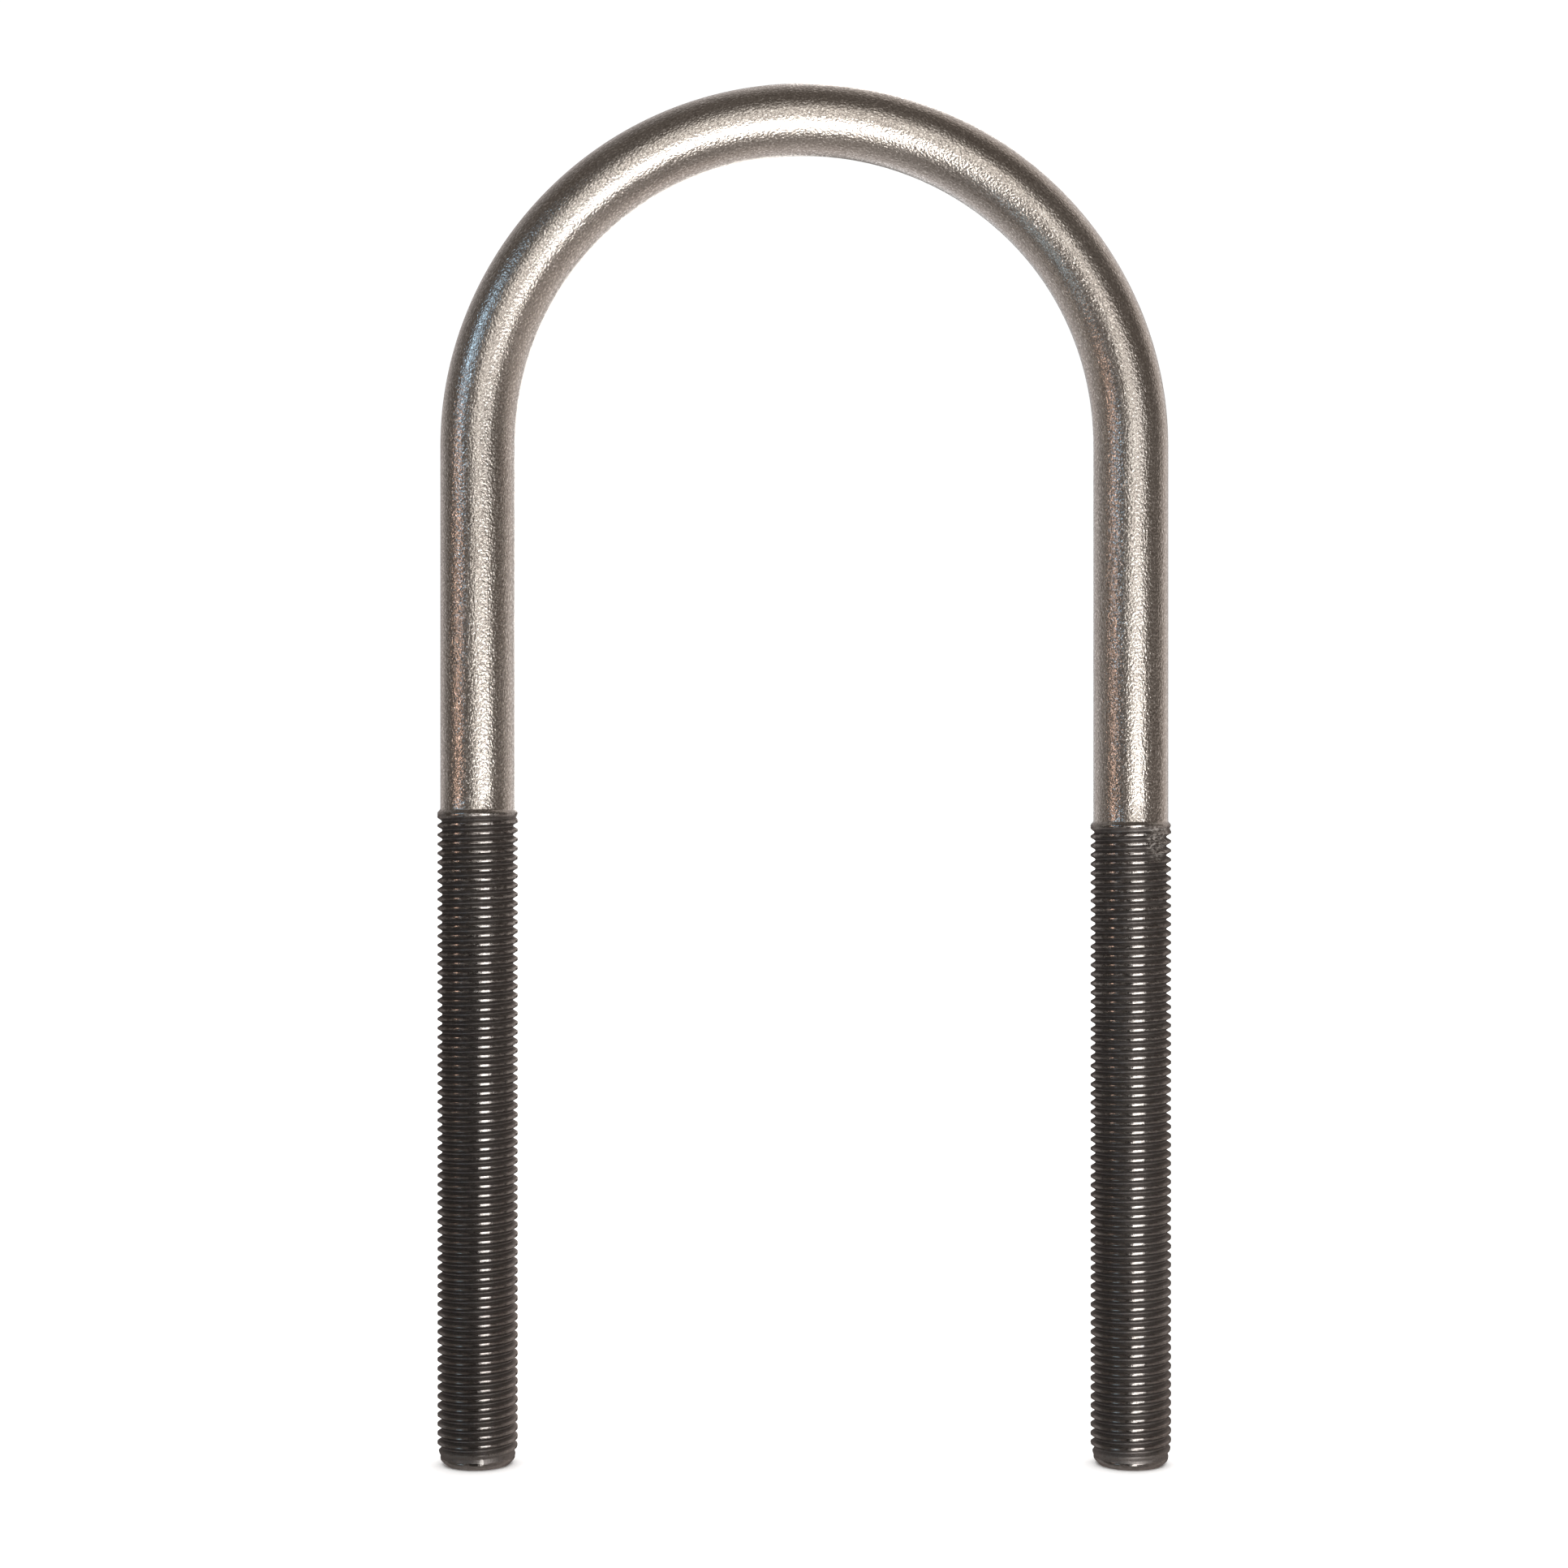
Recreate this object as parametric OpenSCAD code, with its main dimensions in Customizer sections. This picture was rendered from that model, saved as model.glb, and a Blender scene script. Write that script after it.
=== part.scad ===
// U-bolt: one round steel rod, bent to a half circle, with two parallel legs
// that end in long rolled threads. It is a single piece of bar, so it is a
// single solid in a single node.
//
// +Z is up, towards the crown of the bend. The origin is the centre of the
// bend, on the axis of the pipe or axle tube that the bolt clamps. +Y runs
// along that pipe, and the two legs stand side by side along X.

/* [Rod] */
// Diameter of the plain rod, which is also the blank that the threads are rolled on
rod_d = 10.3; // [10.1:0.1:10.8]
// Clear width between the plain legs, which is also the diameter inside the bend
inside_w = 80; // [60:0.5:120]
// Length of each straight leg, from the centre of the bend to its end
leg_len = 140.6; // [120:0.1:220]

/* [Thread] */
// Major diameter of the thread, over its crests
thread_d = 11.112; // [11:0.001:11.4]
// Distance along the leg from one crest to the next
pitch = 1.27; // [1.2:0.01:1.5]
// Threaded length of the left leg, from its end to the last trace of thread
thread_len_left = 90.4; // [40:0.1:110]
// Threaded length of the right leg, from its end to the last trace of thread
thread_len_right = 88.7; // [40:0.1:110]

/* [Leg ends] */
// Height of the 45 degree chamfer on each leg's end
chamfer = 0.75; // [0.3:0.05:1.2]
// How far the partly formed first turn stands out from the plain rod's radius
first_turn_rise = 0.1; // [0.05:0.01:0.15]
// Height of the partly formed first turn, above the chamfer
first_turn_h = 0.7; // [0.4:0.05:1]
// Length at the top of the thread that the run-out takes
run_out = 1.3; // [1.2:0.05:2]

/* [Hidden] */

rod_r = rod_d / 2;
// Radius of the rod's centre line round the bend, which is half the distance between the legs
bend_r = inside_w / 2 + rod_r;

// 60 degree thread form with a flat crest of an eighth of the pitch, and the
// root of a rolled thread
half_angle = 30;
crest_r = thread_d / 2;
root_r = crest_r - 0.61343 * pitch;
crest_w = pitch / 8;
root_w = pitch - crest_w - 2 * (crest_r - root_r) * tan(half_angle);

// The first turn, at the leg's end, is rolled over the chamfered blank and
// reaches only this radius; the last trace of thread is half formed
first_r = rod_r + first_turn_rise;
last_r = (rod_r + crest_r) / 2;
last_root_r = (rod_r + root_r) / 2;

// Distance from the leg's end to the middle of its first groove
first_groove = chamfer + first_turn_h + (first_r - root_r) * tan(half_angle) + root_w / 2;

function groove_count(len) = floor((len - run_out - first_groove) / pitch) + 1;

// The four corners of groove k of n, from the leg's end upwards: top of the
// lower flank, both edges of the root, top of the upper flank
function groove(k, n) =
    let (mid = first_groove + k * pitch,
         root = k == n - 1 ? last_root_r : root_r,
         below = k == 0 ? first_r : crest_r,
         above = k == n - 1 ? last_r : crest_r)
    [[below, mid - root_w / 2 - (below - root) * tan(half_angle)],
     [root, mid - root_w / 2],
     [root, mid + root_w / 2],
     [above, mid + root_w / 2 + (above - root) * tan(half_angle)]];

// Half section of a whole leg. The leg's end is at 0 and the bend is at
// leg_len. The thread is drawn as parallel ridges, one at each pitch, with
// the true section of the thread.
function leg_profile(len) =
    let (n = groove_count(len))
    concat(
        [[0, 0], [first_r - chamfer, 0], [first_r, chamfer]],
        [for (k = [0:n - 1]) each groove(k, n)],
        [[last_r, len - (last_r - rod_r)], [rod_r, len], [rod_r, leg_len], [0, leg_len]]);

module leg(x, len) {
    translate([x, 0, -leg_len])
        rotate_extrude($fn = 96)
            polygon(leg_profile(len));
}

module bend() {
    rotate([90, 0, 0])
        rotate_extrude(angle = 180, $fn = 192)
            translate([bend_r, 0])
                circle(r = rod_r, $fn = 96);
}

module u_bolt() {
    color([0.56, 0.51, 0.46])
        union() {
            bend();
            leg(-bend_r, thread_len_left);
            leg(bend_r, thread_len_right);
        }
}

u_bolt();
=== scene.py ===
"""The look of the u-bolt: one bent, threaded steel rod, built as one watertight mesh with real helical threads."""

import math

import bpy
import numpy as np
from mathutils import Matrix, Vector


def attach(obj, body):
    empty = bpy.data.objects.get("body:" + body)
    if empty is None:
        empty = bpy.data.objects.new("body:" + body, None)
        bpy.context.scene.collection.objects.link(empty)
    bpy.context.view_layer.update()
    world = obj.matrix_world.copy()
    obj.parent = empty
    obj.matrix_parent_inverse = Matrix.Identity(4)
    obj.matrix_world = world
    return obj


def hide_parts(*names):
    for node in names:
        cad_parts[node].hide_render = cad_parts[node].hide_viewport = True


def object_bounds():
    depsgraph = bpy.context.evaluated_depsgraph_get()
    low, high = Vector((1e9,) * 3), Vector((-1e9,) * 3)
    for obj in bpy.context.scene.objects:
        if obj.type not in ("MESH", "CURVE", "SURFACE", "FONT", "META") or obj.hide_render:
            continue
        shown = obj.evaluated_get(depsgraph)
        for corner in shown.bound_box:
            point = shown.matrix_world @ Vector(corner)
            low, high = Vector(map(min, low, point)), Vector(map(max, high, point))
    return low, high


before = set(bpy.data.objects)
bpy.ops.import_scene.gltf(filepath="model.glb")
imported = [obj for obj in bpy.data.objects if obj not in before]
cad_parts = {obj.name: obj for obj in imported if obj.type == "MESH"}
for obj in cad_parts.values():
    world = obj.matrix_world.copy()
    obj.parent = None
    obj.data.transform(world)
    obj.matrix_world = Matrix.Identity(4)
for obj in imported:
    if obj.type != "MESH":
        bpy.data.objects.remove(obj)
cad_lo, cad_hi = [list(v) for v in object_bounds()]
scene = bpy.context.scene

# ---------------------------------------------------------------- sizes, in millimetres, from the frame
ROD_R = 5.15
CREST_R = 5.556
PITCH = 1.27
ROOT_R = CREST_R - 0.665  # rolled, with a round root
BEND_R = 45.15
LEG = -cad_lo[2] * 1000.0  # the legs end on the frame's lowest plane
BEND_L = math.pi * BEND_R
TOTAL = 2 * LEG + BEND_L
TOP_L = 90.5  # thread length, left leg
TOP_R = 88.8  # thread length, right leg
PHASE_L = 0.495  # where a root crosses the inner line of the left leg
PHASE_R = 0.48  # the same for the right leg, along the whole rod
N = 60  # points round the rod
LAND_R = 5.13

# a thread's profile: distance from the root's middle, radius
PROFILE = (
    (0.0, CREST_R - 0.665),
    (0.085, CREST_R - 0.64),
    (0.165, CREST_R - 0.55),
    (0.450, CREST_R - 0.060),
    (0.485, CREST_R - 0.016),
    (0.635, CREST_R),
    (0.785, CREST_R - 0.016),
    (0.820, CREST_R - 0.060),
    (1.105, CREST_R - 0.55),
    (1.185, CREST_R - 0.64),
)
NP = len(PROFILE)


def smooth(a, b, x):
    t = np.clip((x - a) / (b - a), 0.0, 1.0)
    return t * t * (3 - 2 * t)


def thread_radius(e, prof, top):
    """Radius at a distance e from the leg's end, where the full thread would have radius prof."""
    u = top - e
    crest = ROD_R + (CREST_R - ROD_R) * smooth(0.0, 0.62, u)
    low = LAND_R + (CREST_R - LAND_R) * smooth(0.7, 3.0, e)
    crest = np.minimum(crest, low)
    depth = smooth(0.45, 2.0, u) * smooth(0.65, 3.2, e)
    return crest - depth * (CREST_R - prof)


def place(s, theta, r):
    """A point at length s along the rod, angle theta from the side that faces the other leg, radius r. The frame turns with the rod, so threads keep their hand."""
    s = np.asarray(s, float)
    beta = np.clip((s - LEG) / BEND_L, 0.0, 1.0) * math.pi - math.pi / 2
    off = np.where(s < LEG, s - LEG, np.where(s > LEG + BEND_L, LEG + BEND_L - s, 0.0))
    rx, rz = np.sin(beta), np.cos(beta)
    # bending thins the rod across the bend by 5 % and widens it the other way
    w = smooth(0.0, 0.75, np.cos(beta))
    ca = r * np.cos(theta) * (1 - 0.048 * w)
    sa = r * np.sin(theta) * (1 + 0.036 * w)
    x = BEND_R * rx - ca * rx
    y = sa
    z = BEND_R * rz - ca * rz + off
    return np.stack([x, y, z], axis=-1)


# ---------------------------------------------------------------- the mesh, built along the straightened rod
vs, vt, vr = [], [], []  # along, angle, radius
vthr, vdep, vend = [], [], []
faces, face_uv = [], []  # vertex ids; (strip, u, v) of each corner
THETA = 2 * math.pi * np.arange(N) / N


def add(s, t, r, thr=0.0, dep=0.0, end=0.0):
    vs.append(float(s))
    vt.append(float(t))
    vr.append(float(r))
    vthr.append(float(thr))
    vdep.append(float(dep))
    vend.append(float(end))
    return len(vs) - 1


def ring(s, r, thr=0.0, dep=0.0, end=0.0):
    return [add(s, THETA[j], r, thr, dep, end) for j in range(N)]


def face(ids, uvs):
    """Adds a face, leaving out corners that have met."""
    keep_i, keep_u = [], []
    for k, i in enumerate(ids):
        if i != ids[k - 1]:
            keep_i.append(i)
            keep_u.append(uvs[k])
    if len(keep_i) >= 3 and len(set(keep_i)) == len(keep_i):
        faces.append(keep_i)
        face_uv.append(keep_u)


def join(a, b, strip):
    for j in range(N):
        k = (j + 1) % N
        face(
            [a[j], a[k], b[k], b[j]],
            [(strip, j, vs[a[j]]), (strip, j + 1, vs[a[j]]), (strip, j + 1, vs[b[j]]), (strip, j, vs[b[j]])],
        )


def thread(low, high, phase, top, from_start, strip):
    """Fills between two rings with a helical thread. Rows follow the helix, and points past a ring fall onto it."""
    s0, s1 = vs[low[0]], vs[high[0]]
    first = math.floor((s0 - PITCH - phase) / PITCH)
    last = math.ceil((s1 - phase) / PITCH)
    rows = [(phase + PITCH * t + f, pr) for t in range(first, last + 1) for f, pr in PROFILE]
    grid = []
    for base, pr in rows:
        line = []
        for j in range(N):
            s = base + PITCH * j / N
            if s <= s0 + 0.02:
                line.append((low[j], s0))
            elif s >= s1 - 0.02:
                line.append((high[j], s1))
            else:
                e = s if from_start else TOTAL - s
                r = thread_radius(e, pr, top)
                line.append(
                    (add(s, THETA[j], r, smooth(-0.1, 0.9, top - e), (CREST_R - r) / (CREST_R - ROOT_R)), s)
                )
        grid.append(line)
    full_low = [(low[j], s0) for j in range(N)]
    full_high = [(high[j], s1) for j in range(N)]
    for i in range(len(grid) - 1):
        for j in range(N):
            if j < N - 1:
                q = [grid[i][j], grid[i][j + 1], grid[i + 1][j + 1], grid[i + 1][j]]
            else:
                a = grid[i + NP][0] if i + NP < len(grid) else full_high[0]
                b = grid[i + 1 + NP][0] if i + 1 + NP < len(grid) else full_high[0]
                q = [grid[i][j], a, b, grid[i + 1][j]]
            face([p[0] for p in q], [(strip, j, q[0][1]), (strip, j + 1, q[1][1]), (strip, j + 1, q[2][1]), (strip, j, q[3][1])])


def cap(edge, s, strip, flip):
    """Closes the rod's end with two rings and a middle point."""
    rr = vr[edge[0]]
    ring1 = [add(s, THETA[j], rr * 0.94, 1.0, 0.0, 1.0) for j in range(N)]
    ring2 = [add(s, THETA[j], rr * 0.5, 1.0, 0.0, 1.0) for j in range(N)]
    mid = add(s, 0.0, 0.0, 1.0, 0.0, 1.0)

    def disc(i):
        return (strip, vr[i] * math.cos(vt[i]), vr[i] * math.sin(vt[i]))

    for a, b in ((edge, ring1), (ring1, ring2)):
        for j in range(N):
            k = (j + 1) % N
            ids = [a[j], b[j], b[k], a[k]] if not flip else [a[j], a[k], b[k], b[j]]
            face(ids, [disc(i) for i in ids])
    for j in range(N):
        k = (j + 1) % N
        ids = [ring2[j], mid, ring2[k]] if not flip else [ring2[j], ring2[k], mid]
        face(ids, [disc(i) for i in ids])


END = ((0.0, 4.36), (0.035, 4.475), (0.11, 4.56), (0.30, 4.745), (0.50, 4.93), (0.62, 5.03), (0.72, 5.09), (0.84, LAND_R))

rings = [ring(e, r, 1.0, 0.0) for e, r in END]
for a, b in zip(rings, rings[1:]):
    join(a, b, 0)
cap(rings[0], 0.0, 4, False)
low_l = ring(1.0, LAND_R, 1.0)
join(rings[-1], low_l, 0)
high_l = ring(TOP_L, ROD_R, 0.0)
thread(low_l, high_l, PHASE_L, TOP_L, True, 0)

# plain shank, bend, plain shank
stops = list(np.linspace(TOP_L, LEG, 20)[1:]) + list(LEG + np.linspace(0, BEND_L, 129)[1:]) + list(np.linspace(LEG + BEND_L, TOTAL - TOP_R, 20)[1:-1])
prev, middle = high_l, TOTAL / 2
for s in stops:
    cur = ring(s, ROD_R)
    join(prev, cur, 1 if s <= middle + 1e-6 else 2)
    prev = cur
low_r = ring(TOTAL - TOP_R, ROD_R, 0.0)
join(prev, low_r, 2)
high_r = ring(TOTAL - 1.0, LAND_R, 1.0)
thread(low_r, high_r, PHASE_R, TOP_R, False, 3)
rings = [ring(TOTAL - e, r, 1.0, 0.0) for e, r in reversed(END)]
join(high_r, rings[0], 3)
for a, b in zip(rings, rings[1:]):
    join(a, b, 3)
cap(rings[-1], TOTAL, 5, True)

S, T, R = np.array(vs), np.array(vt), np.array(vr)
co = place(S, T, R) / 1000.0

mesh = bpy.data.meshes.new("u_bolt_rod")
mesh.from_pydata(co.tolist(), [], faces)
mesh.update()


def attribute(name, kind, values):
    a = mesh.attributes.new(name, kind, "POINT")
    a.data.foreach_set("vector" if kind == "FLOAT_VECTOR" else "value", np.asarray(values, np.float32).ravel())


# straightened coordinates in millimetres, for grain that follows the rod round its bend
attribute("rod_mm", "FLOAT_VECTOR", np.stack([R * np.cos(T), R * np.sin(T), S], axis=-1))
attribute("threaded", "FLOAT", vthr)
attribute("depth", "FLOAT", vdep)
attribute("end_face", "FLOAT", vend)
attribute("from_run_out", "FLOAT", np.where(S < TOTAL / 2, TOP_L - S, TOP_R - (TOTAL - S)))
attribute("bent", "FLOAT", smooth(0.0, 14.0, S - (LEG - 8)) * smooth(0.0, 14.0, LEG + BEND_L + 8 - S))

# the rod's skin unrolled into four strips side by side, so that a baked texture keeps every turn of the thread
SIDE = 152.0
START = {0: 0.0, 1: TOP_L, 2: TOTAL / 2, 3: TOTAL - TOP_R}
STRETCH = {0: 1.62, 1: 1.0, 2: 1.0, 3: 1.62}
uv = mesh.uv_layers.new(name="OFBake")
flat = np.zeros((len(mesh.loops), 2), np.float32)
at = 0
for corners in face_uv:
    for strip, a, b in corners:
        if strip < 4:
            flat[at] = ((1.5 + strip * 37.5 + a / N * 35.5) / SIDE, (1.5 + (b - START[strip]) * STRETCH[strip]) / SIDE)
        else:
            flat[at] = ((37.5 * (strip - 3) + 19 + a) / SIDE, (142.0 + b) / SIDE)
        at += 1
uv.data.foreach_set("uv", flat.ravel())
mesh.shade_smooth()
mesh.set_sharp_from_angle(angle=math.radians(24))

rod = bpy.data.objects.new("steel_rod", mesh)
scene.collection.objects.link(rod)
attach(rod, "root")
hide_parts("u_bolt")

# ---------------------------------------------------------------- steel
mat = bpy.data.materials.new("satin_steel")
mat.use_nodes = True
nt = mat.node_tree
nt.nodes.clear()


def node(kind, **settings):
    n = nt.nodes.new(kind)
    for k, v in settings.items():
        setattr(n, k, v)
    return n


def link(a, b):
    nt.links.new(a, b)


def math_node(op, a, b=None, c=None, clamp=False):
    n = node("ShaderNodeMath", operation=op, use_clamp=clamp)
    for i, v in enumerate((a, b, c)):
        if v is None:
            continue
        if isinstance(v, (int, float)):
            n.inputs[i].default_value = v
        else:
            link(v, n.inputs[i])
    return n.outputs[0]


def ranged(value, a, b, lo=0.0, hi=1.0, kind="SMOOTHSTEP"):
    n = node("ShaderNodeMapRange", interpolation_type=kind)
    link(value, n.inputs["Value"])
    for k, v in (("From Min", a), ("From Max", b), ("To Min", lo), ("To Max", hi)):
        n.inputs[k].default_value = v
    return n.outputs["Result"]


def mixed(factor, a, b):
    n = node("ShaderNodeMix", data_type="RGBA")
    for k, v in ((0, factor), (6, a), (7, b)):
        if isinstance(v, (int, float, tuple)):
            n.inputs[k].default_value = v
        else:
            link(v, n.inputs[k])
    return n.outputs[2]


def attr(name, out="Fac"):
    return node("ShaderNodeAttribute", attribute_type="GEOMETRY", attribute_name=name).outputs[out]


def noise(scale, stretch, detail=2.0, rough=0.5, seed=0.0, distortion=0.0):
    """Noise in straightened coordinates: scale is per millimetre across the rod, stretch is how much longer it is along it."""
    m = node("ShaderNodeMapping", vector_type="POINT")
    m.inputs["Location"].default_value = (seed, seed * 1.7, seed * 0.3)
    m.inputs["Scale"].default_value = (scale, scale, scale / stretch)
    link(rodp, m.inputs["Vector"])
    n = node("ShaderNodeTexNoise", noise_dimensions="3D")
    n.inputs["Scale"].default_value = 1.0
    n.inputs["Detail"].default_value = detail
    n.inputs["Roughness"].default_value = rough
    n.inputs["Distortion"].default_value = distortion
    link(m.outputs[0], n.inputs["Vector"])
    return n.outputs["Fac"]


rodp = attr("rod_mm", "Vector")
threaded, depth, end_face, run_out, bent = (attr(n) for n in ("threaded", "depth", "end_face", "from_run_out", "bent"))

grain = noise(3.7, 1.3, 1.0, 0.5, 3.1)  # the pulled orange-peel grain
fine = noise(7.0, 2.5, 2.0, 0.5, 11.7)
sparkle = noise(3.6, 1.25, 1.0, 0.5, 37.3)
broad = noise(0.16, 3.0, 3.0, 0.5, 5.3)
streak = noise(3.2, 26.0, 2.0, 0.5, 23.9)

# colour
base = mixed(ranged(broad, 0.3, 0.7), (0.60, 0.555, 0.515, 1), (0.64, 0.605, 0.57, 1))
base = mixed(math_node("MULTIPLY", ranged(fine, 0.56, 0.70), 0.5), base, (0.38, 0.345, 0.315, 1))
base = mixed(math_node("MULTIPLY", ranged(sparkle, 0.32, 0.46, 1.0, 0.0), 0.62), base, (0.36, 0.325, 0.295, 1))
base = mixed(math_node("MULTIPLY", ranged(sparkle, 0.57, 0.68), 0.9), base, (0.95, 0.91, 0.87, 1))
dark = mixed(ranged(broad, 0.3, 0.7), (0.285, 0.262, 0.25, 1), (0.325, 0.312, 0.305, 1))
# painted shade: the thread colour is made darker towards the groove roots, standing in for the shade that falls deep in
# the grooves
dark = mixed(ranged(depth, 0.12, 0.8), dark, (0.28, 0.262, 0.255, 1))
dark = mixed(math_node("MULTIPLY", ranged(fine, 0.50, 0.66), 0.6), dark, (0.17, 0.155, 0.15, 1))


def patch(s0, theta, half_s, half_t, soft=0.5):
    """One inside an oval on the rod's skin: at length s0 from the left end, angle theta in degrees from the side facing the other leg."""
    sep = node("ShaderNodeSeparateXYZ")
    link(rodp, sep.inputs[0])
    a = math.radians(theta)
    along = math_node("DIVIDE", math_node("SUBTRACT", sep.outputs[2], s0), half_s)
    across = math_node("ADD", math_node("MULTIPLY", sep.outputs[0], -math.sin(a)), math_node("MULTIPLY", sep.outputs[1], math.cos(a)))
    across = math_node("DIVIDE", across, half_t)
    towards = math_node("ADD", math_node("MULTIPLY", sep.outputs[0], math.cos(a)), math_node("MULTIPLY", sep.outputs[1], math.sin(a)))
    d = math_node("ADD", math_node("POWER", along, 2.0), math_node("POWER", across, 2.0))
    return math_node("MULTIPLY", ranged(d, 1.0 - soft, 1.0 + soft, 1.0, 0.0), ranged(towards, 0.0, 1.0))


scuffs = math_node("MULTIPLY", ranged(noise(1.3, 0.45, 3.0, 0.6, 51.0), 0.50, 0.62), ranged(depth, 0.05, 0.5, 1.0, 0.3))
scuffs = math_node("MULTIPLY", scuffs, ranged(run_out, 0.0, 60.0, 0.42, 0.12, "LINEAR"))
rub = math_node("MULTIPLY", patch(TOTAL - TOP_R + 2.4, -130, 3.0, 1.8), ranged(noise(2.4, 0.6, 2.0, 0.6, 63.0), 0.44, 0.60))
rub = math_node("MULTIPLY", rub, 0.85)
nick = patch(1.2, -78, 0.5, 0.28)
worn = math_node("MAXIMUM", scuffs, rub)
dark = mixed(worn, dark, (0.80, 0.775, 0.75, 1))
dark = mixed(nick, dark, (0.8, 0.78, 0.76, 1))
colour = mixed(threaded, base, dark)

# roughness
rough_shank = math_node("ADD", ranged(streak, 0.3, 0.7, 0.17, 0.24, "LINEAR"), math_node("MULTIPLY", bent, 0.03))
# crests are rubbed bright, grooves are dull
rough_thread = math_node("ADD", ranged(grain, 0.3, 0.7, 0.13, 0.21, "LINEAR"), ranged(depth, 0.06, 0.35, 0.0, 0.34))
rough_thread = math_node("ADD", rough_thread, math_node("MULTIPLY", worn, 0.4))
rmix = node("ShaderNodeMix", data_type="FLOAT")
link(threaded, rmix.inputs[0])
link(rough_shank, rmix.inputs[2])
link(rough_thread, rmix.inputs[3])
roughness = rmix.outputs[0]

# bump, in millimetres of height
smoother = ranged(threaded, 0.0, 1.0, 1.0, 0.22, "LINEAR")
near_thread = ranged(run_out, -22.0, 0.0, 1.0, 0.8)
strength = math_node("MULTIPLY", math_node("MULTIPLY", math_node("SUBTRACT", 0.080, math_node("MULTIPLY", bent, 0.014)), smoother), near_thread)
height = math_node("MULTIPLY", grain, strength)
height = math_node("ADD", height, math_node("MULTIPLY", fine, math_node("MULTIPLY", smoother, 0.010)))
height = math_node("ADD", height, math_node("MULTIPLY", streak, math_node("MULTIPLY", smoother, 0.010)))
bump = node("ShaderNodeBump")
bump.inputs["Strength"].default_value = 1.0
bump.inputs["Distance"].default_value = 0.001
link(height, bump.inputs["Height"])

bsdf = node("ShaderNodeBsdfPrincipled")
bsdf.inputs["Metallic"].default_value = 1.0
link(colour, bsdf.inputs["Base Color"])
link(roughness, bsdf.inputs["Roughness"])
link(mixed(threaded, (1, 1, 1, 1), (0.3, 0.28, 0.27, 1)), bsdf.inputs["Specular Tint"])
link(bump.outputs[0], bsdf.inputs["Normal"])
out = node("ShaderNodeOutputMaterial")
link(bsdf.outputs[0], out.inputs["Surface"])
mesh.materials.append(mat)

# ---------------------------------------------------------------- floor
floor_mesh = bpy.data.meshes.new("floor_sheet")
F = 6.0
floor_z = cad_lo[2]
floor_mesh.from_pydata([(-F, -F, floor_z), (F, -F, floor_z), (F, F, floor_z), (-F, F, floor_z)], [], [(0, 1, 2, 3)])
floor = bpy.data.objects.new("floor_sheet", floor_mesh)
scene.collection.objects.link(floor)
fm = bpy.data.materials.new("pale_floor")
fm.use_nodes = True
fb = fm.node_tree.nodes["Principled BSDF"]
fb.inputs["Base Color"].default_value = (0.92, 0.92, 0.92, 1)
fb.inputs["Roughness"].default_value = 0.9
fb.inputs["Specular IOR Level"].default_value = 0.0
floor_mesh.materials.append(fm)
# the floor doesn't hide the low softbox from the steel
floor.visible_glossy = False
floor.visible_shadow = False


# ---------------------------------------------------------------- light
def softbox(name, az, el, dist, width, height, radiance, tint=(1, 1, 1), aim=(0.0, 0.0, 0.0), shape="RECTANGLE", glossy=True, diffuse=True):
    """A softbox seen from the aim point at an azimuth (to the right of the camera) and elevation, width and height in metres."""
    a, e = math.radians(az), math.radians(el)
    d = np.array([math.sin(a) * math.cos(e), -math.cos(a) * math.cos(e), math.sin(e)])
    data = bpy.data.lights.new(name, "AREA")
    data.shape = shape
    data.size, data.size_y = width, height
    area = width * height * (math.pi / 4 if shape == "ELLIPSE" else 1.0)
    data.energy = radiance * math.pi * area
    data.color = tint
    ob = bpy.data.objects.new(name, data)
    ob.location = Vector(aim) + Vector(d) * dist
    ob.rotation_mode = "QUATERNION"
    ob.rotation_quaternion = Vector(d).to_track_quat("Z", "Y")
    ob.visible_camera = False
    ob.visible_glossy = glossy
    ob.visible_diffuse = diffuse
    scene.collection.objects.link(ob)
    return ob


CROWN = (0.0, 0.0, 0.0)


def deg(width, dist):
    return 2 * dist * math.tan(math.radians(width / 2))


D = 3.0
softbox("key_softbox", -1, -33.5, D, deg(27, D), deg(42, D), 4.4, (1.0, 0.97, 0.93), CROWN, "ELLIPSE", diffuse=False)
softbox("key_spill", -4, -11, D, deg(22, D), deg(11, D), 1.1, (1.0, 0.97, 0.93), CROWN, "ELLIPSE", diffuse=False)
softbox("key_halo", 1, 14, D, deg(22, D), deg(22, D), 1.15, (1.0, 0.97, 0.92), CROWN, "ELLIPSE", diffuse=False)
softbox("key_halo_wide", 1, 26, D, deg(34, D), deg(36, D), 0.34, (1.0, 0.96, 0.90), CROWN, "ELLIPSE", diffuse=False)
softbox("window", 20, 1, D, deg(23, D), deg(5, D), 1.1, (1.0, 0.97, 0.94), CROWN, diffuse=False)
softbox("window_top", 19.5, 7.7, D, deg(24, D), deg(8.4, D), 0.62, (1.0, 0.97, 0.94), CROWN, diffuse=False)
softbox("window_side", 33.5, 0, 0.400, 0.070, 0.110, 1.3, (1.0, 0.97, 0.94), (0, 0, 0.025), diffuse=False)
softbox("near_lamp", 21.4, 0, 0.390, 0.180, 0.130, 4.6, (1.0, 0.98, 0.95), (0, 0, -0.118), diffuse=False)
softbox("near_lamp_low", 21.4, 0, 0.390, 0.180, 0.065, 2.4, (1.0, 0.98, 0.96), (0, 0, -0.2155), diffuse=False)
softbox("warm_strip", -59, 0, 0.80, deg(6.5, 0.8), 0.132, 4.2, (1.0, 0.68, 0.52), (0, 0, 0.004), diffuse=False)
softbox("cool_strip", -51, 18.5, D, deg(16, D), deg(12, D), 2.3, (0.50, 0.76, 1.0), CROWN, diffuse=False)
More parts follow.
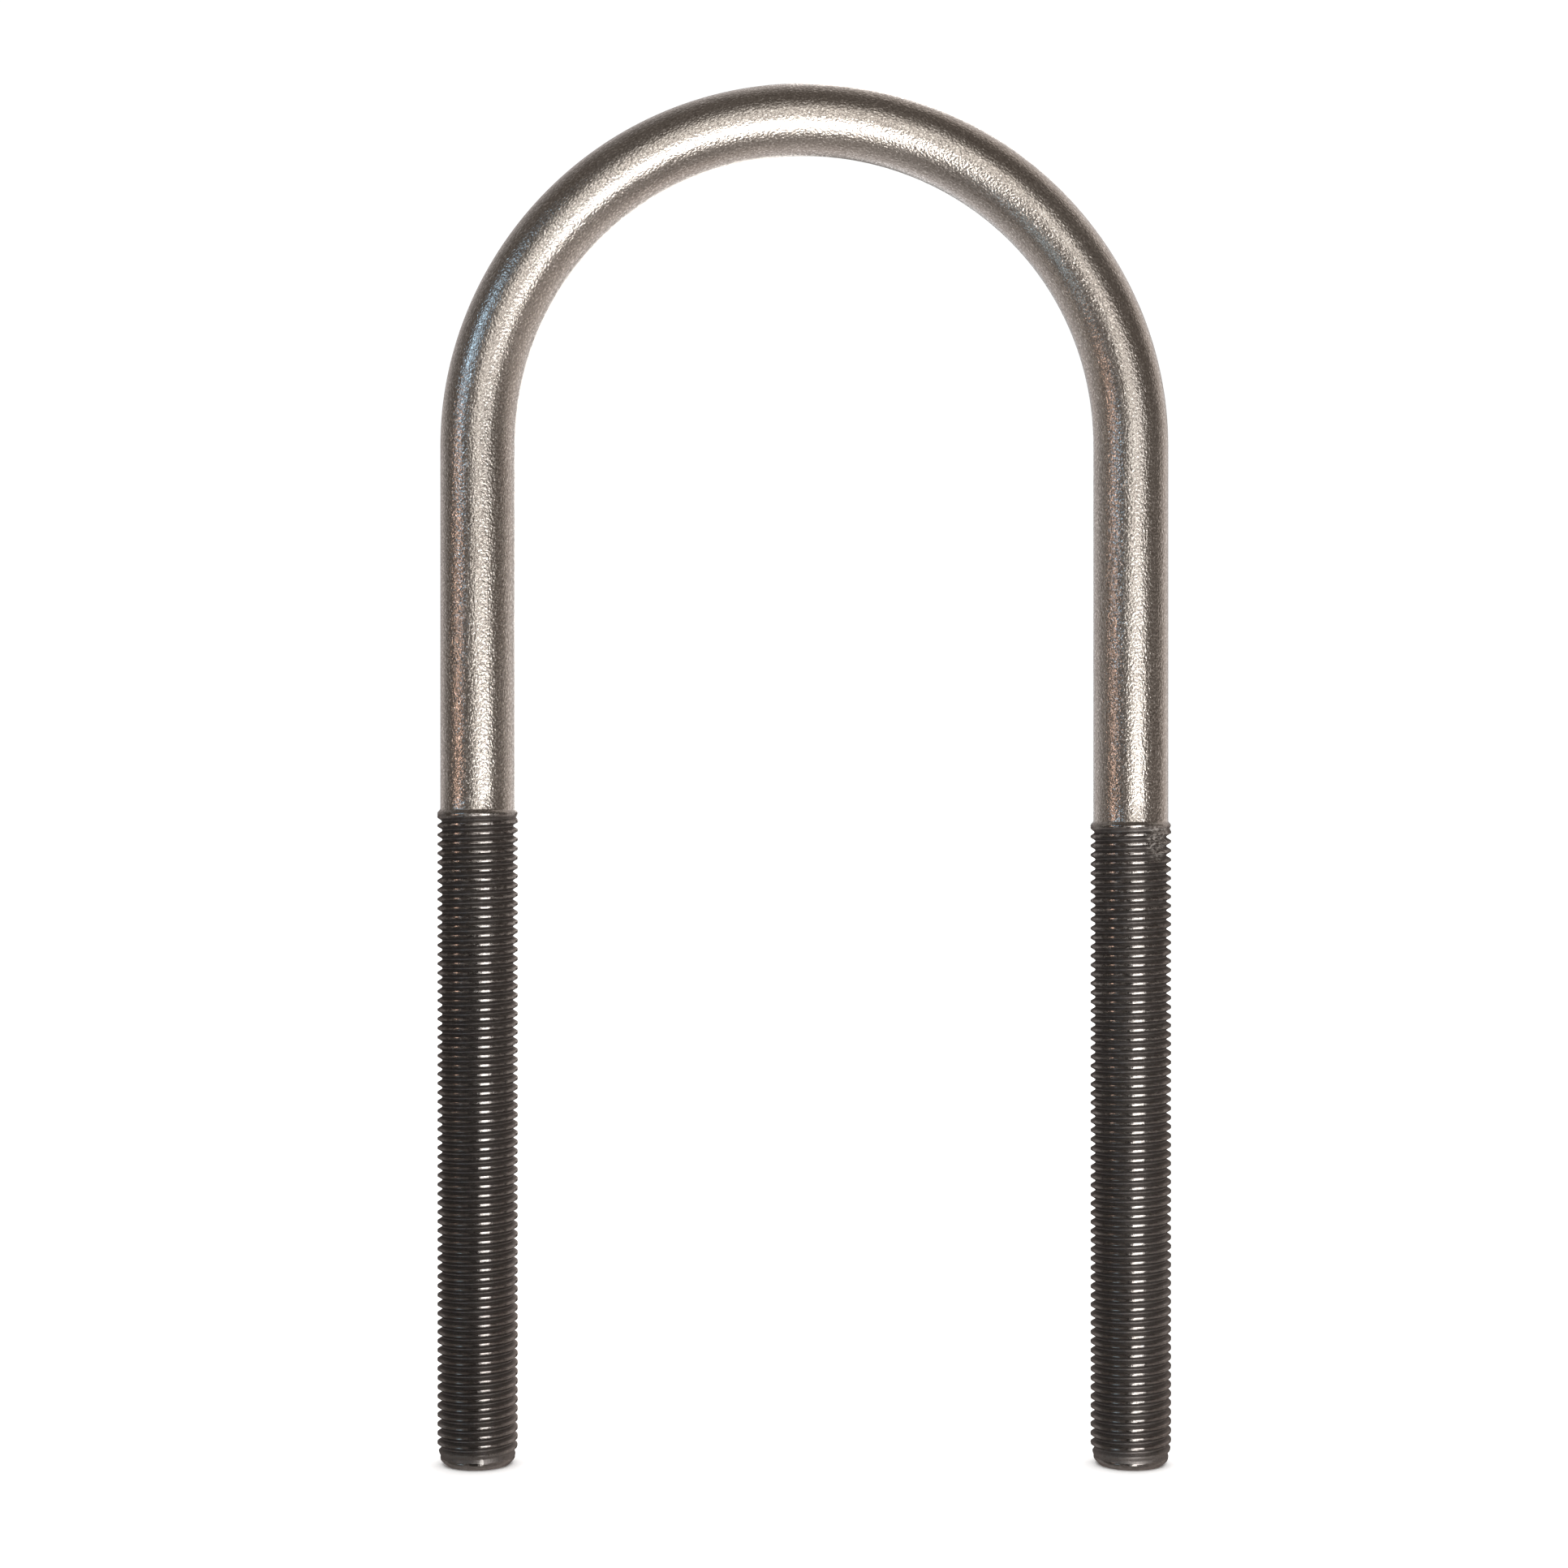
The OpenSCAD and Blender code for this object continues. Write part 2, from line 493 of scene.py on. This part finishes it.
softbox("cool_strip_low", -50, -24, D, deg(14, D), deg(9, D), 1.1, (0.6, 0.85, 1.0), CROWN, diffuse=False)

# behind the object, for the views from the back
softbox("back_key", 173, 12, D, deg(12, D), deg(56, D), 3.0, (1.0, 0.97, 0.94), CROWN, diffuse=False)
softbox("back_fill", -167, -8, D, deg(10, D), deg(46, D), 0.8, (0.92, 0.95, 1.0), CROWN, diffuse=False)


def flag(name, x0, x1, y, z0, z1):
    """A black card in front of a leg. It keeps the key softbox out of the threads."""
    m = bpy.data.meshes.new(name)
    m.from_pydata([(x0, y, z0), (x1, y, z0), (x1, y, z1), (x0, y, z1)], [], [(0, 1, 2, 3)])
    ob = bpy.data.objects.new(name, m)
    black = bpy.data.materials.new(name)
    black.use_nodes = True
    b = black.node_tree.nodes["Principled BSDF"]
    b.inputs["Base Color"].default_value = (0.06, 0.055, 0.05, 1)
    b.inputs["Roughness"].default_value = 1.0
    m.materials.append(black)
    ob.visible_camera = False
    ob.visible_diffuse = False  # it leaves no mark on the floor
    scene.collection.objects.link(ob)


flag("flag_left", -0.058, -0.0375, -0.035, -0.200, -0.062)
flag("flag_right", 0.032, 0.0435, -0.035, -0.200, -0.062)

overhead = bpy.data.lights.new("overhead", "SUN")
overhead.energy = 4.6
overhead.angle = math.radians(110)
overhead_ob = bpy.data.objects.new("overhead", overhead)
overhead_ob.visible_glossy = False
scene.collection.objects.link(overhead_ob)

world = bpy.data.worlds.new("studio")
scene.world = world
world.use_nodes = True
nt = world.node_tree
nt.nodes.clear()
coord = node("ShaderNodeTexCoord")
sep = node("ShaderNodeSeparateXYZ")
link(coord.outputs["Generated"], sep.inputs[0])
dx, dy, dz = sep.outputs
side = ranged(dx, -0.7, 0.7)
near_back = mixed(side, (0.40, 0.375, 0.36, 1), (0.56, 0.50, 0.46, 1))
far_back = mixed(side, (0.75, 0.70, 0.69, 1), (0.98, 0.92, 0.90, 1))
pale = mixed(ranged(dy, 0.35, 1.0), near_back, far_back)
low_front = mixed(ranged(math_node("ABSOLUTE", dx), 0.3, 0.6), (0.32, 0.29, 0.27, 1), (0.19, 0.172, 0.16, 1))
front = mixed(ranged(dz, -1.0, 0.3), low_front, (0.125, 0.108, 0.095, 1))
right_low = math_node("MULTIPLY", ranged(dx, 0.35, 0.8), ranged(dz, -0.12, -0.02, 1.0, 0.0))
front = mixed(right_low, front, (0.33, 0.29, 0.265, 1))
pale = mixed(math_node("MULTIPLY", ranged(math_node("SUBTRACT", dz, dx), 0.7, 1.2), 0.6), pale, (0.12, 0.11, 0.105, 1))
pale = mixed(ranged(dy, 0.80, 0.97), pale, (0.20, 0.188, 0.178, 1))
env = mixed(ranged(dy, 0.06, 0.34), front, pale)
path = node("ShaderNodeLightPath")
scene.world.cycles.sampling_method = "NONE"
bg_env, bg_cam, mix = node("ShaderNodeBackground"), node("ShaderNodeBackground"), node("ShaderNodeMixShader")
link(env, bg_env.inputs[0])
bg_env.inputs[1].default_value = 1.0
bg_cam.inputs[0].default_value = (1, 1, 1, 1)
bg_cam.inputs[1].default_value = 1.05
link(path.outputs["Is Camera Ray"], mix.inputs[0])
link(bg_env.outputs[0], mix.inputs[1])
link(bg_cam.outputs[0], mix.inputs[2])
wout = node("ShaderNodeOutputWorld")
link(mix.outputs[0], wout.inputs["Surface"])

scene.view_settings.view_transform = "Standard"
scene.view_settings.look = "None"

# ---------------------------------------------------------------- camera: straight on, at the photograph's distance
cam = bpy.data.cameras.new("camera")
cam.sensor_width = 36.0
cam.lens = 66.41
cam.clip_start, cam.clip_end = 0.01, 50.0
cam_ob = bpy.data.objects.new("camera", cam)
cam_ob.location = (-0.0028, -0.400, -0.0467)
cam_ob.rotation_euler = (math.pi / 2, 0.0, 0.0)
scene.collection.objects.link(cam_ob)
scene.camera = cam_ob
